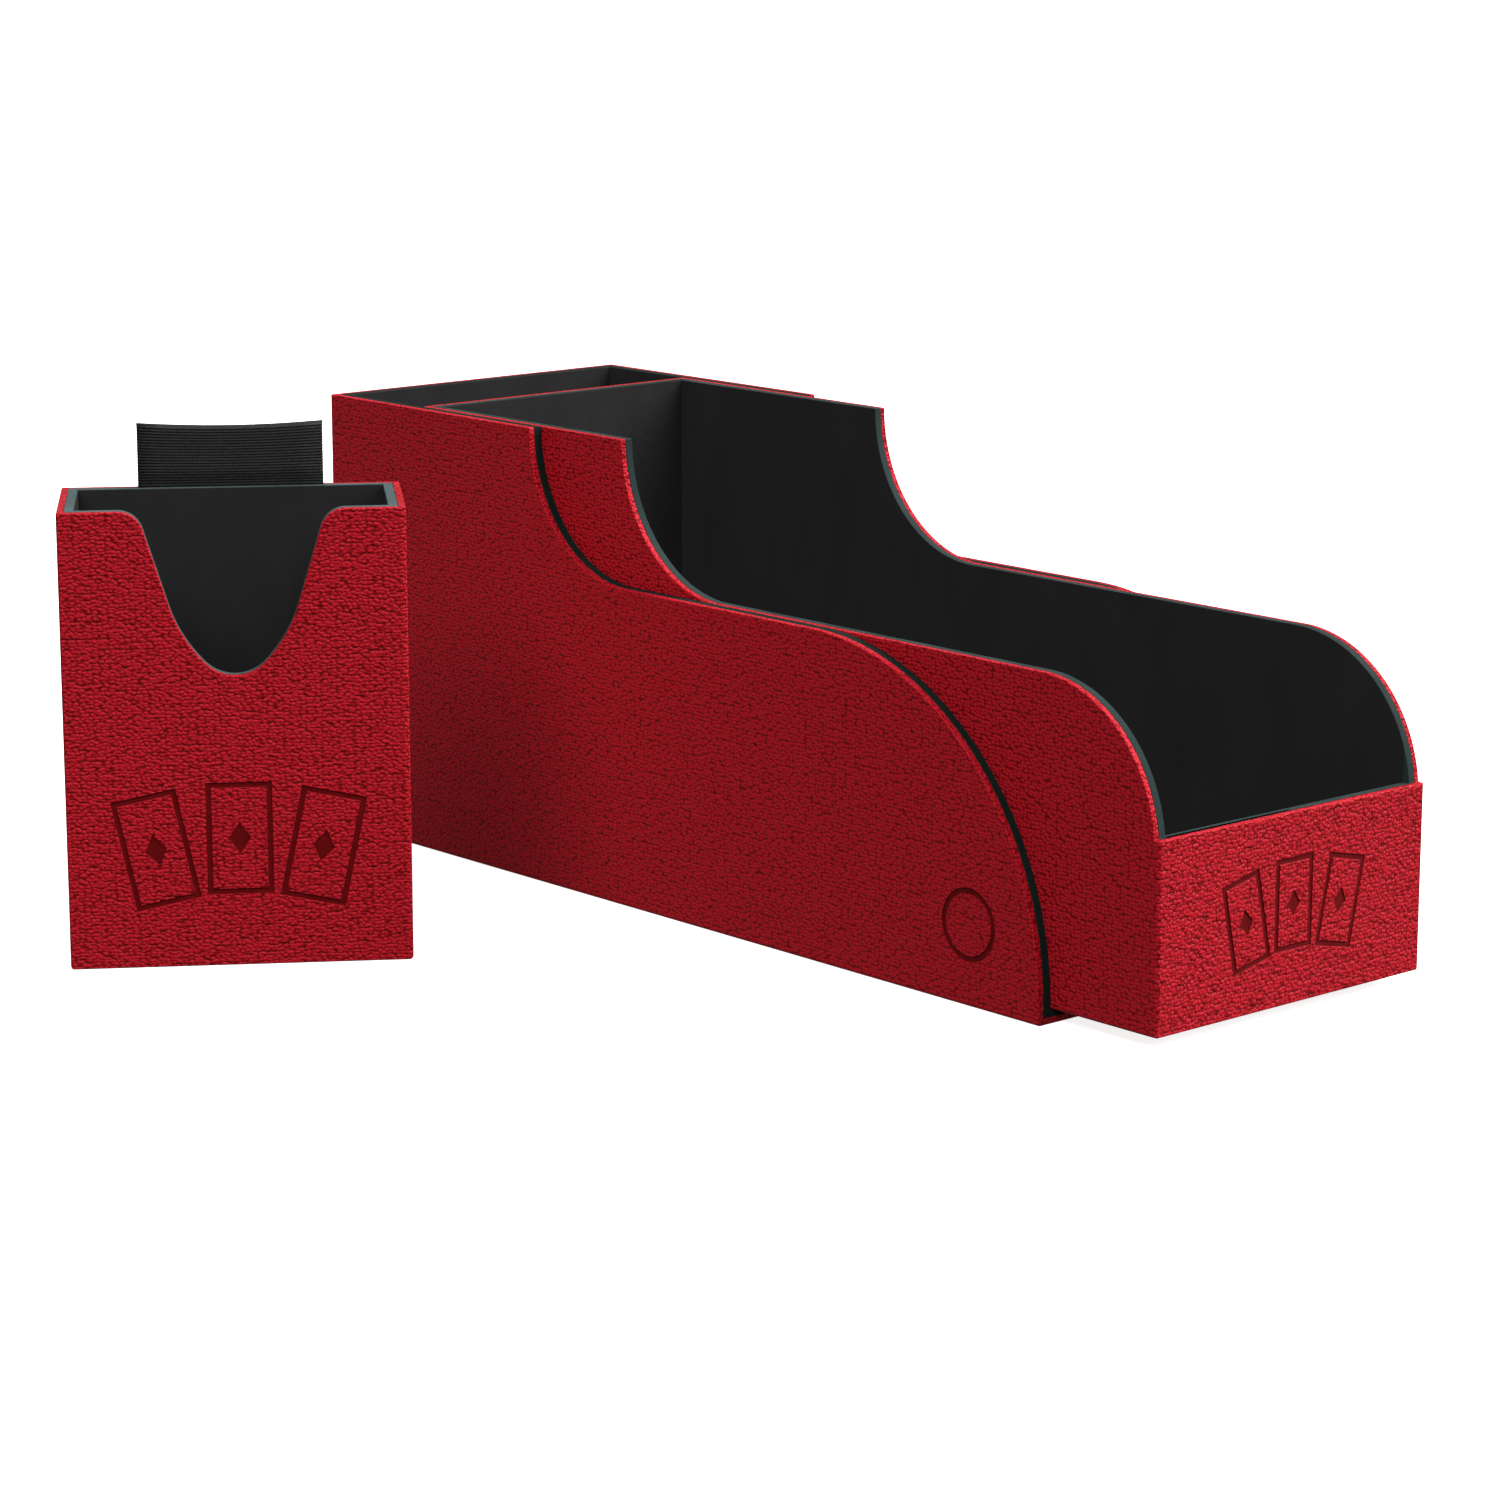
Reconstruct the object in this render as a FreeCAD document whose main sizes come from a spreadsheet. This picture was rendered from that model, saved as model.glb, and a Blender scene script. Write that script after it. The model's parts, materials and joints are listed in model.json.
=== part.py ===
"""Card deck box: a glued two-shell box and its loose card tray, in millimetres, +Z up.

Every wall is built as it is on the bench: a board wrapped in leather on its outer face and
all four edges, with a lining glued on the inner face. The long box is an outer jacket with an
inner box glued inside it. The tray is a separate small box with a thumb notch and a ribbon.
The origin is the middle of the jacket's underside; -Y is the low, open front.
"""
import FreeCAD, Part
import math
import os
import Sketcher

DRIVING_SIZES = {
    # the long box
    "box_length": 277.7,
    "box_width": 89.7,
    "rim_height": 108.2,
    "low_wall_height": 74.6,
    "jacket_board": 1.0,
    "jacket_lining": 2.1,
    "jacket_floor_lining": 1.5,
    "jacket_setback": 30.2,
    "jacket_heel": 3.6,
    "jacket_shoulder": 199.1,
    "inner_board": 0.8,
    "inner_lining": 1.9,
    "inner_nose_radius": 33.5,
    "inner_shoulder": 170.0,
    "front_height": 41.6,
    "rear_bay_depth": 29.1,
    # the leather wrap and what is pressed into it
    "leather": 0.6,
    "press_depth": 0.25,
    "press_line": 1.15,
    "ring_radius": 8.0,
    "ring_from_front": 51.4,
    "ring_height": 17.9,
    "magnet_radius": 5.0,
    "magnet_clearance": 0.1,
    "card_mark_width": 11.5,
    "card_mark_height": 20.0,
    "card_mark_pitch": 14.6,
    "card_mark_tilt": 12.0,
    "card_mark_drop": 1.8,
    "card_mark_pip_width": 3.8,
    "card_mark_pip_height": 5.6,
    "front_mark_height": 25.0,
    # the card tray
    "tray_side_clearance": 0.35,
    "tray_top_clearance": 0.6,
    "tray_depth": 37.1,
    "tray_board": 1.0,
    "tray_lining": 2.2,
    "tray_standoff": 96.21,
    "tray_forward": 41.97,
    "tray_turn": 34.45,
    "tray_mark_height": 28.7,
    "tray_mark_scale": 1.25,
    "notch_depth": 36.3,
    "notch_tip_radius": 8.9,
    "notch_tip_angle": 46.0,
    "notch_side_radius": 32.0,
    "notch_side_angle": 73.0,
    "notch_shoulder_radius": 5.7,
    # the pull ribbon
    "ribbon_width": 41.0,
    "ribbon_rise": 14.6,
    "ribbon_dip": 0.8,
    "ribbon_loop": 2.4,
    "ribbon_tail": 1.2,
    "ribbon_tail_length": 15.0,
    "ribbon_clearance": 0.1,
}


class Size:
    """A length or number that knows both its value and the expression that gives it."""

    def __init__(self, value, text):
        self.value = value
        self.text = text

    def joined(self, other, sign, value_of):
        """Return this size combined with another one, or with a plain number."""
        if not isinstance(other, Size):
            other = Size(other, repr(other))
        return Size(value_of(self.value, other.value), f"({self.text} {sign} {other.text})")

    def __add__(self, other):
        return self.joined(other, "+", lambda a, b: a + b)

    def __sub__(self, other):
        return self.joined(other, "-", lambda a, b: a - b)

    def __mul__(self, other):
        return self.joined(other, "*", lambda a, b: a * b)

    def __truediv__(self, other):
        return self.joined(other, "/", lambda a, b: a / b)

    def __neg__(self):
        return Size(-self.value, f"(0 - {self.text})")

    def root(self):
        """Return the square root."""
        return Size(math.sqrt(self.value), f"sqrt({self.text})")

    def sine(self):
        """Return the sine of this size, read in degrees."""
        return Size(math.sin(math.radians(self.value)), f"sin({self.text})")

    def cosine(self):
        """Return the cosine of this size, read in degrees."""
        return Size(math.cos(math.radians(self.value)), f"cos({self.text})")


ZERO = Size(0.0, "0")
doc = FreeCAD.newDocument("card_deck_box")
sheet = doc.addObject("Spreadsheet::Sheet", "sizes")
for row, (alias, number) in enumerate(DRIVING_SIZES.items(), start=1):
    sheet.set(f"A{row}", alias)
    sheet.set(f"B{row}", str(number))
    sheet.setAlias(f"B{row}", alias)
doc.recompute()


def size(alias):
    """Return the driving size of that name."""
    return Size(DRIVING_SIZES[alias], f"sizes.{alias}")


# ---------------------------------------------------------------- placing and sketching

# each sketch plane: its role, and which way its normal points along the axis across it
PLANES = {"YZ": ("YZ_Plane", 1), "XZ": ("XZ_Plane", -1), "XY": ("XY_Plane", 1)}
BOX_FRAME = "box"
TRAY_FRAME = "tray"
finished = []
cuts = []


def place(item, frame):
    """Bind an object's placement to the frame it is built in."""
    if frame == BOX_FRAME:
        return
    turn = FreeCAD.Rotation(FreeCAD.Vector(0, 0, -1), DRIVING_SIZES["tray_turn"])
    item.Placement = FreeCAD.Placement(FreeCAD.Vector(0, 0, 0), turn)
    item.setExpression("Placement.Base.x", (-(size("box_width") / 2) - size("tray_standoff")).text)
    item.setExpression("Placement.Base.y", size("tray_forward").text)
    item.setExpression("Placement.Rotation.Angle", size("tray_turn").text)


def finish(item, label):
    """Name a sub-part and keep it for writing."""
    item.Label = label
    finished.append(item)
    return item


def new_body(label, frame):
    """Start a PartDesign body for one sub-part."""
    body = finish(doc.addObject("PartDesign::Body", label), label)
    place(body, frame)
    return body


class Corner:
    """A corner of an outline, and the edge that leaves it: straight, or an arc of a radius."""

    def __init__(self, across, along, radius=None, counterclockwise=True):
        self.across = across
        self.along = along
        self.radius = radius
        self.counterclockwise = counterclockwise


def arc_between(start, end, radius, counterclockwise):
    """Return the circular arc under half a turn from start to end."""
    chord = end - start
    middle = start + chord * 0.5
    reach = math.sqrt(max(radius ** 2 - (chord.Length / 2) ** 2, 0.0))
    left = FreeCAD.Vector(-chord.y, chord.x, 0).normalize()
    centre = middle + left * (reach if counterclockwise else -reach)
    first, last = (start, end) if counterclockwise else (end, start)
    angles = [math.atan2(point.y - centre.y, point.x - centre.x) for point in (first, last)]
    circle = Part.Circle(centre, FreeCAD.Vector(0, 0, 1), radius)
    return Part.ArcOfCircle(circle, angles[0], angles[1])


def draw_loop(sketch, corners):
    """Draw one closed outline, each corner and radius bound to its size."""
    points = [FreeCAD.Vector(corner.across.value, corner.along.value, 0) for corner in corners]
    first = sketch.GeometryCount
    ends = []
    for index, corner in enumerate(corners):
        start = points[index]
        end = points[(index + 1) % len(points)]
        if corner.radius is None:
            sketch.addGeometry(Part.LineSegment(start, end), False)
            ends.append((1, 2))
            continue
        arc = arc_between(start, end, corner.radius.value, corner.counterclockwise)
        edge = sketch.addGeometry(arc, False)
        ends.append((1, 2) if corner.counterclockwise else (2, 1))
        bind(sketch, Sketcher.Constraint("Radius", edge, corner.radius.value), corner.radius)
    for index, corner in enumerate(corners):
        edge = first + index
        before = first + (index - 1) % len(corners)
        here = ends[index][0]
        there = ends[index - 1][1]
        sketch.addConstraint(Sketcher.Constraint("Coincident", before, there, edge, here))
        for kind, where in (("DistanceX", corner.across), ("DistanceY", corner.along)):
            bind(sketch, Sketcher.Constraint(kind, -1, 1, edge, here, where.value), where)


def bind(sketch, constraint, bound_to):
    """Add a dimension to a sketch and bind it to a size."""
    number = sketch.addConstraint(constraint)
    sketch.setExpression(f"Constraints[{number}]", bound_to.text)


def new_sketch(body, plane, position, loops):
    """Draw outlines on one of the body's own planes, moved along its normal to a position."""
    role, normal = PLANES[plane]
    sketch = body.newObject("Sketcher::SketchObject", f"{body.Name}_outline")
    origin_plane = next(item for item in body.Origin.OriginFeatures if item.Role == role)
    sketch.AttachmentSupport = (origin_plane, [""])
    sketch.MapMode = "FlatFace"
    moved = position if normal > 0 else -position
    sketch.setExpression("AttachmentOffset.Base.z", moved.text)
    for loop in loops:
        if isinstance(loop, Ring):
            loop.draw(sketch)
        else:
            draw_loop(sketch, loop)
    return sketch


class Ring:
    """One or two circles about a point: a disc, or a pressed ring."""

    def __init__(self, across, along, radii):
        self.across = across
        self.along = along
        self.radii = radii

    def draw(self, sketch):
        """Draw the circles, bound to their sizes."""
        centre = FreeCAD.Vector(self.across.value, self.along.value, 0)
        for radius in self.radii:
            edge = sketch.addGeometry(Part.Circle(centre, FreeCAD.Vector(0, 0, 1), radius.value), False)
            bind(sketch, Sketcher.Constraint("Radius", edge, radius.value), radius)
            for kind, where in (("DistanceX", self.across), ("DistanceY", self.along)):
                bind(sketch, Sketcher.Constraint(kind, -1, 1, edge, 3, where.value), where)


def pad(body, plane, low, high, loops):
    """Add a slab between two positions along the plane's axis."""
    start = low if PLANES[plane][1] > 0 else high
    sketch = new_sketch(body, plane, start, loops)
    feature = body.newObject("PartDesign::Pad", f"{body.Name}_slab")
    feature.Profile = sketch
    feature.setExpression("Length", (high - low).text)
    return feature


def pocket(body, plane, low, high, loops):
    """Cut a recess between two positions along the plane's axis."""
    start = high if PLANES[plane][1] > 0 else low
    sketch = new_sketch(body, plane, start, loops)
    feature = body.newObject("PartDesign::Pocket", f"{body.Name}_recess")
    feature.Profile = sketch
    feature.setExpression("Length", (high - low).text)
    cuts.append((feature, sketch))
    return feature


def rectangle(left, right, bottom, top):
    """Return a rectangle's outline."""
    return [Corner(left, bottom), Corner(right, bottom), Corner(right, top), Corner(left, top)]


def block(label, frame, spans):
    """Make a plain rectangular board or lining from its (low, high) spans in X, Y and Z."""
    box = finish(doc.addObject("Part::Box", label), label)
    place(box, frame)
    for (low, high), length in zip(spans, ("Length", "Width", "Height")):
        box.setExpression(length, (high - low).text)
    moved = [low for low, high in spans]
    if frame == BOX_FRAME:
        for axis, low in zip("xyz", moved):
            box.setExpression(f"Placement.Base.{axis}", low.text)
        return box
    cosine = size("tray_turn").cosine()
    sine = size("tray_turn").sine()
    origin_x = -(size("box_width") / 2) - size("tray_standoff")
    box.setExpression("Placement.Base.x", (origin_x + moved[0] * cosine + moved[1] * sine).text)
    box.setExpression("Placement.Base.y", (size("tray_forward") - moved[0] * sine + moved[1] * cosine).text)
    box.setExpression("Placement.Base.z", moved[2].text)
    return box


def wrapped_panel(name, frame, plane, outer, inner, outline, pressed=(), hole=None):
    """Make a leather-wrapped board. The leather covers the outer face and every edge.

    outer and inner are the positions of its two faces across the plane, outline is a function
    of the inset from the edge, pressed are outlines pressed into the outer face, and hole is a
    disc cut through the board.
    """
    outward = outer.value > inner.value
    skin = outer - size("leather") if outward else outer + size("leather")
    low, high = (inner, outer) if outward else (outer, inner)
    board_low, board_high = (inner, skin) if outward else (skin, inner)
    leather = new_body(f"{name}_leather", frame)
    pad(leather, plane, low, high, [outline(ZERO)])
    pocket(leather, plane, board_low, board_high, [outline(size("leather"))])
    for loops in pressed:
        dent = outer - size("press_depth") if outward else outer + size("press_depth")
        dent_low, dent_high = (dent, outer) if outward else (outer, dent)
        pocket(leather, plane, dent_low, dent_high, loops)
    board = new_body(f"{name}_board", frame)
    pad(board, plane, board_low, board_high, [outline(size("leather"))])
    if hole is not None:
        pocket(board, plane, board_low, board_high, [hole])


def inset_rectangle(left, right, bottom, top):
    """Return a function that gives the rectangle's outline at an inset from its edges."""
    return lambda inset: rectangle(left + inset, right - inset, bottom + inset, top - inset)


def card_marks(across, along, scale):
    """Return the outlines of three spread playing cards, pressed as narrow lines, each with a solid pip."""
    half_width = size("card_mark_width") * scale / 2
    half_height = size("card_mark_height") * scale / 2
    line = size("press_line")
    pip_width = size("card_mark_pip_width") * scale / 2
    pip_height = size("card_mark_pip_height") * scale / 2
    shapes = [
        [(-half_width, -half_height), (half_width, -half_height),
         (half_width, half_height), (-half_width, half_height)],
        [(line - half_width, line - half_height), (half_width - line, line - half_height),
         (half_width - line, half_height - line), (line - half_width, half_height - line)],
        [(ZERO, -pip_height), (pip_width, ZERO), (ZERO, pip_height), (-pip_width, ZERO)],
    ]
    loops = []
    for place_in_row in (-1, 0, 1):
        tilt = size("card_mark_tilt") * (-place_in_row)
        cosine = tilt.cosine()
        sine = tilt.sine()
        middle_x = across + size("card_mark_pitch") * scale * place_in_row
        middle_z = along - size("card_mark_drop") * scale * abs(place_in_row)
        for shape in shapes:
            loops.append([Corner(middle_x + x * cosine - z * sine, middle_z + x * sine + z * cosine)
                          for x, z in shape])
    return loops


# ---------------------------------------------------------------- the long box

leather = size("leather")
half_length = size("box_length") / 2
half_width = size("box_width") / 2
rim = size("rim_height")
low_wall = size("low_wall_height")
front = -half_length


class Wall:
    """The limits of a side wall's outline: its ends, its bottom and its curved top edge."""

    def __init__(self, start, stop, bottom, shoulder, nose_radius):
        self.start = start
        self.stop = stop
        self.bottom = bottom
        self.shoulder = shoulder
        self.nose_radius = nose_radius

    def outline(self, inset):
        """Return the stepped outline, inset from every edge by that much."""
        sweep = rim - low_wall
        reach = ((sweep + inset) * (sweep + inset) - inset * inset).root()
        sweep_centre = self.shoulder - sweep
        nose_centre = self.start + self.nose_radius
        return [
            Corner(self.start + inset, self.bottom + inset),
            Corner(self.stop - inset, self.bottom + inset),
            Corner(self.stop - inset, rim - inset),
            Corner(sweep_centre + reach, rim - inset, sweep + inset, counterclockwise=False),
            Corner(sweep_centre, low_wall - inset),
            Corner(nose_centre, low_wall - inset, self.nose_radius - inset),
            Corner(self.start + inset, low_wall - self.nose_radius),
        ]


jacket_panel = leather + size("jacket_board")
jacket_wall = jacket_panel + size("jacket_lining")
jacket_start = front + size("jacket_setback")
jacket_shoulder = front + size("jacket_shoulder")
jacket_nose = low_wall - size("jacket_heel")
jacket_inside = half_width - jacket_panel
jacket_clear = half_width - jacket_wall
jacket_back = half_length - jacket_panel
jacket_clear_back = half_length - jacket_wall
jacket_lining_outline = Wall(jacket_start, jacket_back, jacket_panel, jacket_shoulder, jacket_nose).outline(ZERO)
jacket_side = Wall(jacket_start, half_length, ZERO, jacket_shoulder, jacket_nose)

inner_panel = leather + size("inner_board")
inner_wall = inner_panel + size("inner_lining")
inner_bottom = jacket_panel + size("jacket_floor_lining")
inner_start = front + inner_panel
inner_stop = jacket_clear_back - size("rear_bay_depth")
inner_shoulder = front + size("inner_shoulder")
inner_inside = jacket_clear - inner_panel
inner_clear = jacket_clear - inner_wall
inner_back = inner_stop - inner_panel
inner_floor = inner_bottom + inner_panel
front_top = inner_bottom + size("front_height")
inner_side = Wall(inner_start, inner_stop, inner_bottom, inner_shoulder, size("inner_nose_radius"))
inner_lining_outline = Wall(inner_start, inner_back, inner_floor, inner_shoulder,
                            size("inner_nose_radius")).outline(ZERO)

ring_at = front + size("ring_from_front")
ring_mark = Ring(ring_at, size("ring_height"), (size("ring_radius"), size("ring_radius") - size("press_line")))
magnet_hole = Ring(ring_at, size("ring_height"), (size("magnet_radius") + size("magnet_clearance"),))

for side_name, side in (("left", -1), ("right", 1)):
    wrapped_panel(f"jacket_{side_name}", BOX_FRAME, "YZ", half_width * side, jacket_inside * side,
                  jacket_side.outline, pressed=[[ring_mark]], hole=magnet_hole)
    wrapped_panel(f"inner_{side_name}", BOX_FRAME, "YZ", jacket_clear * side, inner_inside * side,
                  inner_side.outline)
    linings = ((f"jacket_{side_name}_lining", jacket_clear, jacket_inside, jacket_lining_outline),
               (f"inner_{side_name}_lining", inner_clear, inner_inside, inner_lining_outline))
    for label, near, far, outline in linings:
        low, high = (near, far) if side > 0 else (-far, -near)
        pad(new_body(label, BOX_FRAME), "YZ", low, high, [outline])

wrapped_panel("jacket_back", BOX_FRAME, "XZ", half_length, jacket_back,
              inset_rectangle(-jacket_inside, jacket_inside, ZERO, rim))
wrapped_panel("jacket_floor", BOX_FRAME, "XY", ZERO, jacket_panel,
              inset_rectangle(-jacket_inside, jacket_inside, jacket_start, jacket_back))
wrapped_panel("inner_front", BOX_FRAME, "XZ", front, inner_start,
              inset_rectangle(-jacket_clear, jacket_clear, inner_bottom, front_top),
              pressed=[card_marks(ZERO, size("front_mark_height"), Size(1.0, "1"))])
wrapped_panel("inner_back", BOX_FRAME, "XZ", inner_stop, inner_back,
              inset_rectangle(-inner_inside, inner_inside, inner_bottom, rim))
wrapped_panel("inner_floor", BOX_FRAME, "XY", inner_bottom, inner_floor,
              inset_rectangle(-inner_inside, inner_inside, inner_start, inner_back))

block("jacket_back_lining", BOX_FRAME,
      ((-jacket_clear, jacket_clear), (jacket_clear_back, jacket_back), (jacket_panel, rim)))
block("jacket_floor_lining", BOX_FRAME,
      ((-jacket_clear, jacket_clear), (jacket_start, jacket_clear_back), (jacket_panel, inner_bottom)))
block("inner_front_lining", BOX_FRAME,
      ((-inner_clear, inner_clear), (inner_start, front + inner_wall), (inner_floor, front_top)))
block("inner_back_lining", BOX_FRAME,
      ((-inner_clear, inner_clear), (inner_stop - inner_wall, inner_back), (inner_floor, rim)))
block("inner_floor_lining", BOX_FRAME,
      ((-inner_clear, inner_clear), (front + inner_wall, inner_stop - inner_wall),
       (inner_floor, inner_bottom + inner_wall)))

# the two closing magnets, each in its board's hole against the leather
magnets = []
for side in (-1, 1):
    magnet = doc.addObject("Part::Cylinder", "magnet")
    magnet.setExpression("Radius", size("magnet_radius").text)
    magnet.setExpression("Height", (size("jacket_board") - size("magnet_clearance")).text)
    low = half_width - leather - size("jacket_board") + size("magnet_clearance")
    high = half_width - leather
    magnet.Placement = FreeCAD.Placement(FreeCAD.Vector(0, 0, 0), FreeCAD.Rotation(FreeCAD.Vector(0, 1, 0), 90))
    magnet.setExpression("Placement.Base.x", (low if side > 0 else -high).text)
    magnet.setExpression("Placement.Base.y", ring_at.text)
    magnet.setExpression("Placement.Base.z", size("ring_height").text)
    magnets.append(magnet)
closure_magnets = finish(doc.addObject("Part::Compound", "closure_magnets"), "closure_magnets")
closure_magnets.Links = magnets

# ---------------------------------------------------------------- the card tray

tray_half_width = inner_clear - size("tray_side_clearance")
tray_height = rim - inner_bottom - inner_wall - size("tray_top_clearance")
tray_depth = size("tray_depth")
tray_panel = leather + size("tray_board")
tray_wall = tray_panel + size("tray_lining")
tray_inside = tray_half_width - tray_panel
tray_clear = tray_half_width - tray_wall


def notched_outline(half, bottom):
    """Return a function that gives the tray front's outline, with its thumb notch, at an inset."""
    def outline(inset):
        top = tray_height - inset
        tip_radius = size("notch_tip_radius") + inset
        side_radius = size("notch_side_radius") + inset
        shoulder_radius = size("notch_shoulder_radius") - inset
        tip_sine = size("notch_tip_angle").sine()
        tip_cosine = size("notch_tip_angle").cosine()
        side_sine = size("notch_side_angle").sine()
        side_cosine = size("notch_side_angle").cosine()
        one = Size(1.0, "1")
        tip = tray_height - size("notch_depth") - inset
        tip_x = tip_radius * tip_sine
        tip_z = tip + tip_radius * (one - tip_cosine)
        side_x = tip_x + side_radius * (side_sine - tip_sine)
        side_z = tip_z + side_radius * (tip_cosine - side_cosine)
        slope_z = top - shoulder_radius * (one - side_cosine)
        slope_x = side_x + (slope_z - side_z) * side_cosine / side_sine
        shoulder_x = slope_x + shoulder_radius * side_sine
        edge = half - inset
        return [
            Corner(-edge, bottom + inset),
            Corner(edge, bottom + inset),
            Corner(edge, top),
            Corner(shoulder_x, top, shoulder_radius),
            Corner(slope_x, slope_z),
            Corner(side_x, side_z, side_radius, counterclockwise=False),
            Corner(tip_x, tip_z, tip_radius, counterclockwise=False),
            Corner(-tip_x, tip_z, side_radius, counterclockwise=False),
            Corner(-side_x, side_z),
            Corner(-slope_x, slope_z, shoulder_radius),
            Corner(-shoulder_x, top),
        ]
    return outline


wrapped_panel("tray_front", TRAY_FRAME, "XZ", ZERO, tray_panel, notched_outline(tray_half_width, ZERO),
              pressed=[card_marks(ZERO, size("tray_mark_height"), size("tray_mark_scale"))])
wrapped_panel("tray_back", TRAY_FRAME, "XZ", tray_depth, tray_depth - tray_panel,
              inset_rectangle(-tray_half_width, tray_half_width, ZERO, tray_height))
wrapped_panel("tray_floor", TRAY_FRAME, "XY", ZERO, tray_panel,
              inset_rectangle(-tray_inside, tray_inside, tray_panel, tray_depth - tray_panel))
pad(new_body("tray_front_lining", TRAY_FRAME), "XZ", tray_panel, tray_wall,
    [notched_outline(tray_clear, tray_panel)(ZERO)])
block("tray_floor_lining", TRAY_FRAME,
      ((-tray_clear, tray_clear), (tray_wall, tray_depth - tray_wall), (tray_panel, tray_wall)))

for side_name, side in (("left", -1), ("right", 1)):
    wrapped_panel(f"tray_{side_name}", TRAY_FRAME, "YZ", tray_half_width * side, tray_inside * side,
                  inset_rectangle(tray_panel, tray_depth - tray_panel, ZERO, tray_height))
    low, high = (tray_clear, tray_inside) if side > 0 else (-tray_inside, -tray_clear)
    block(f"tray_{side_name}_lining", TRAY_FRAME,
          ((low, high), (tray_panel, tray_depth - tray_panel), (tray_panel, tray_height)))

# the ribbon's tail is glued in a recess behind the back lining
half_ribbon = size("ribbon_width") / 2
tail_bottom = tray_height - size("ribbon_tail_length")
back_face = tray_depth - tray_panel
back_lining = new_body("tray_back_lining", TRAY_FRAME)
pad(back_lining, "XZ", tray_depth - tray_wall, back_face,
    [rectangle(-tray_clear, tray_clear, tray_panel, tray_height)])
slot_half = half_ribbon + size("ribbon_clearance")
pocket(back_lining, "XZ", back_face - size("ribbon_tail"), back_face,
       [rectangle(-slot_half, slot_half, tail_bottom - size("ribbon_clearance"), tray_height)])

ribbon = new_body("pull_ribbon", TRAY_FRAME)
pad(ribbon, "XZ", back_face - size("ribbon_tail"), back_face,
    [rectangle(-half_ribbon, half_ribbon, tail_bottom, tray_height)])
loop_front = back_face - (size("ribbon_tail") + size("ribbon_loop")) / 2
loop_top = tray_height + size("ribbon_rise")
dip_radius = (half_ribbon * half_ribbon + size("ribbon_dip") * size("ribbon_dip")) / (size("ribbon_dip") * 2)
pad(ribbon, "XZ", loop_front, loop_front + size("ribbon_loop"),
    [[Corner(-half_ribbon, tray_height), Corner(half_ribbon, tray_height),
      Corner(half_ribbon, loop_top, dip_radius, counterclockwise=False), Corner(-half_ribbon, loop_top)]])

# ---------------------------------------------------------------- checks and files

doc.recompute()
for item in doc.Objects:
    if "Invalid" in item.State or "Error" in item.State:
        raise RuntimeError(f"{item.Label}: {item.State}")
for feature, sketch in cuts:
    removed = feature.BaseFeature.Shape.Volume - feature.Shape.Volume
    expected = Part.makeFace(sketch.Shape, "Part::FaceMakerBullseye").Area * feature.Length.Value
    if abs(removed - expected) > 0.001 * expected:
        raise RuntimeError(f"{feature.Label}: cut {removed:.3f}, expected {expected:.3f} cubic mm")
for item in finished:
    if item.Shape.isNull() or not item.Shape.isValid():
        raise RuntimeError(f"{item.Label}: its shape is null or not valid")

os.makedirs("parts", exist_ok=True)
for item in finished:
    item.Shape.exportStep(os.path.join("parts", f"{item.Label}.step"))
print(f"wrote {len(finished)} sub-parts")
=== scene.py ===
"""Looks of the card deck box: a leather-wrapped long box and the loose card tray beside it.

Pieces are cut and bevelled in millimetres on a bench of temporary objects. The last step of
each brings its mesh to metres in the row frame: +Z up, -Y the low open front of the long box.
"""

import json
import logging
import math
from collections.abc import Sequence
from dataclasses import dataclass, field
from enum import Enum, IntEnum

import bmesh
import bpy
from mathutils import Euler, Matrix, Vector

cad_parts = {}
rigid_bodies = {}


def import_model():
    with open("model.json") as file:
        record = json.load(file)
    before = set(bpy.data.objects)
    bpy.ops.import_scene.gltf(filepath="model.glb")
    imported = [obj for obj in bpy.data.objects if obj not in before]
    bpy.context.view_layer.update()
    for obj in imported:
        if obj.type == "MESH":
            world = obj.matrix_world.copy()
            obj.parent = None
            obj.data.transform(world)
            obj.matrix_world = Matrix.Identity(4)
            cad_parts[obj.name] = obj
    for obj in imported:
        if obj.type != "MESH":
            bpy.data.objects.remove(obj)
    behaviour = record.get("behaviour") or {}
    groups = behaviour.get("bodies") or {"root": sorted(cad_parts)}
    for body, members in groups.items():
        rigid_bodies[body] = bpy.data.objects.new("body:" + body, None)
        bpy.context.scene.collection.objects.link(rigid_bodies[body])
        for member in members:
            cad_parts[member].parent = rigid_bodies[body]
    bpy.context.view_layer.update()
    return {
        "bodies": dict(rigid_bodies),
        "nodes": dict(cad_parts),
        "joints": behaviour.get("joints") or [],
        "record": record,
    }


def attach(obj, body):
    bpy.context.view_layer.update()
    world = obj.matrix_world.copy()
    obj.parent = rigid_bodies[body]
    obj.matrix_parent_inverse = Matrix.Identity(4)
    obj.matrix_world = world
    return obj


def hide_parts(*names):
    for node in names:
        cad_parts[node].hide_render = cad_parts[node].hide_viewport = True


log = logging.getLogger("card_deck_box")

Point = tuple[float, float]
Colour = tuple[float, float, float]

TO_METRES = Matrix.Scale(0.001, 4)
FAR = 400.0  # mm, a reach well past every wall
PAST = 1.0  # mm, how far a cutter reaches past the face it marks
MERGE = 0.002  # mm, corners nearer than this become one after the cuts
NODE_MERGE = 0.001  # mm, the same for the triangles of a CAD node
FLAT = 0.001  # radians, faces of a CAD node that turn less than this become one
SHARP = math.radians(20.0)  # edges that turn more than this are sharp

TRAY_TURN = math.radians(-34.45)
TRAY_SPOT = (-141.06, 41.97, 0.0)  # mm, the middle of the tray's front edge on the floor


class Side(IntEnum):
    """What a face of a wall shows. The number is its material slot."""

    FACE = 0
    EDGE = 1
    PRESSED = 2
    GLUED = 3


class Axis(Enum):
    """The axis that an outline is swept along. The value gives x, y, z from across, up and along."""

    X = (2, 0, 1)
    Y = (0, 2, 1)


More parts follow.
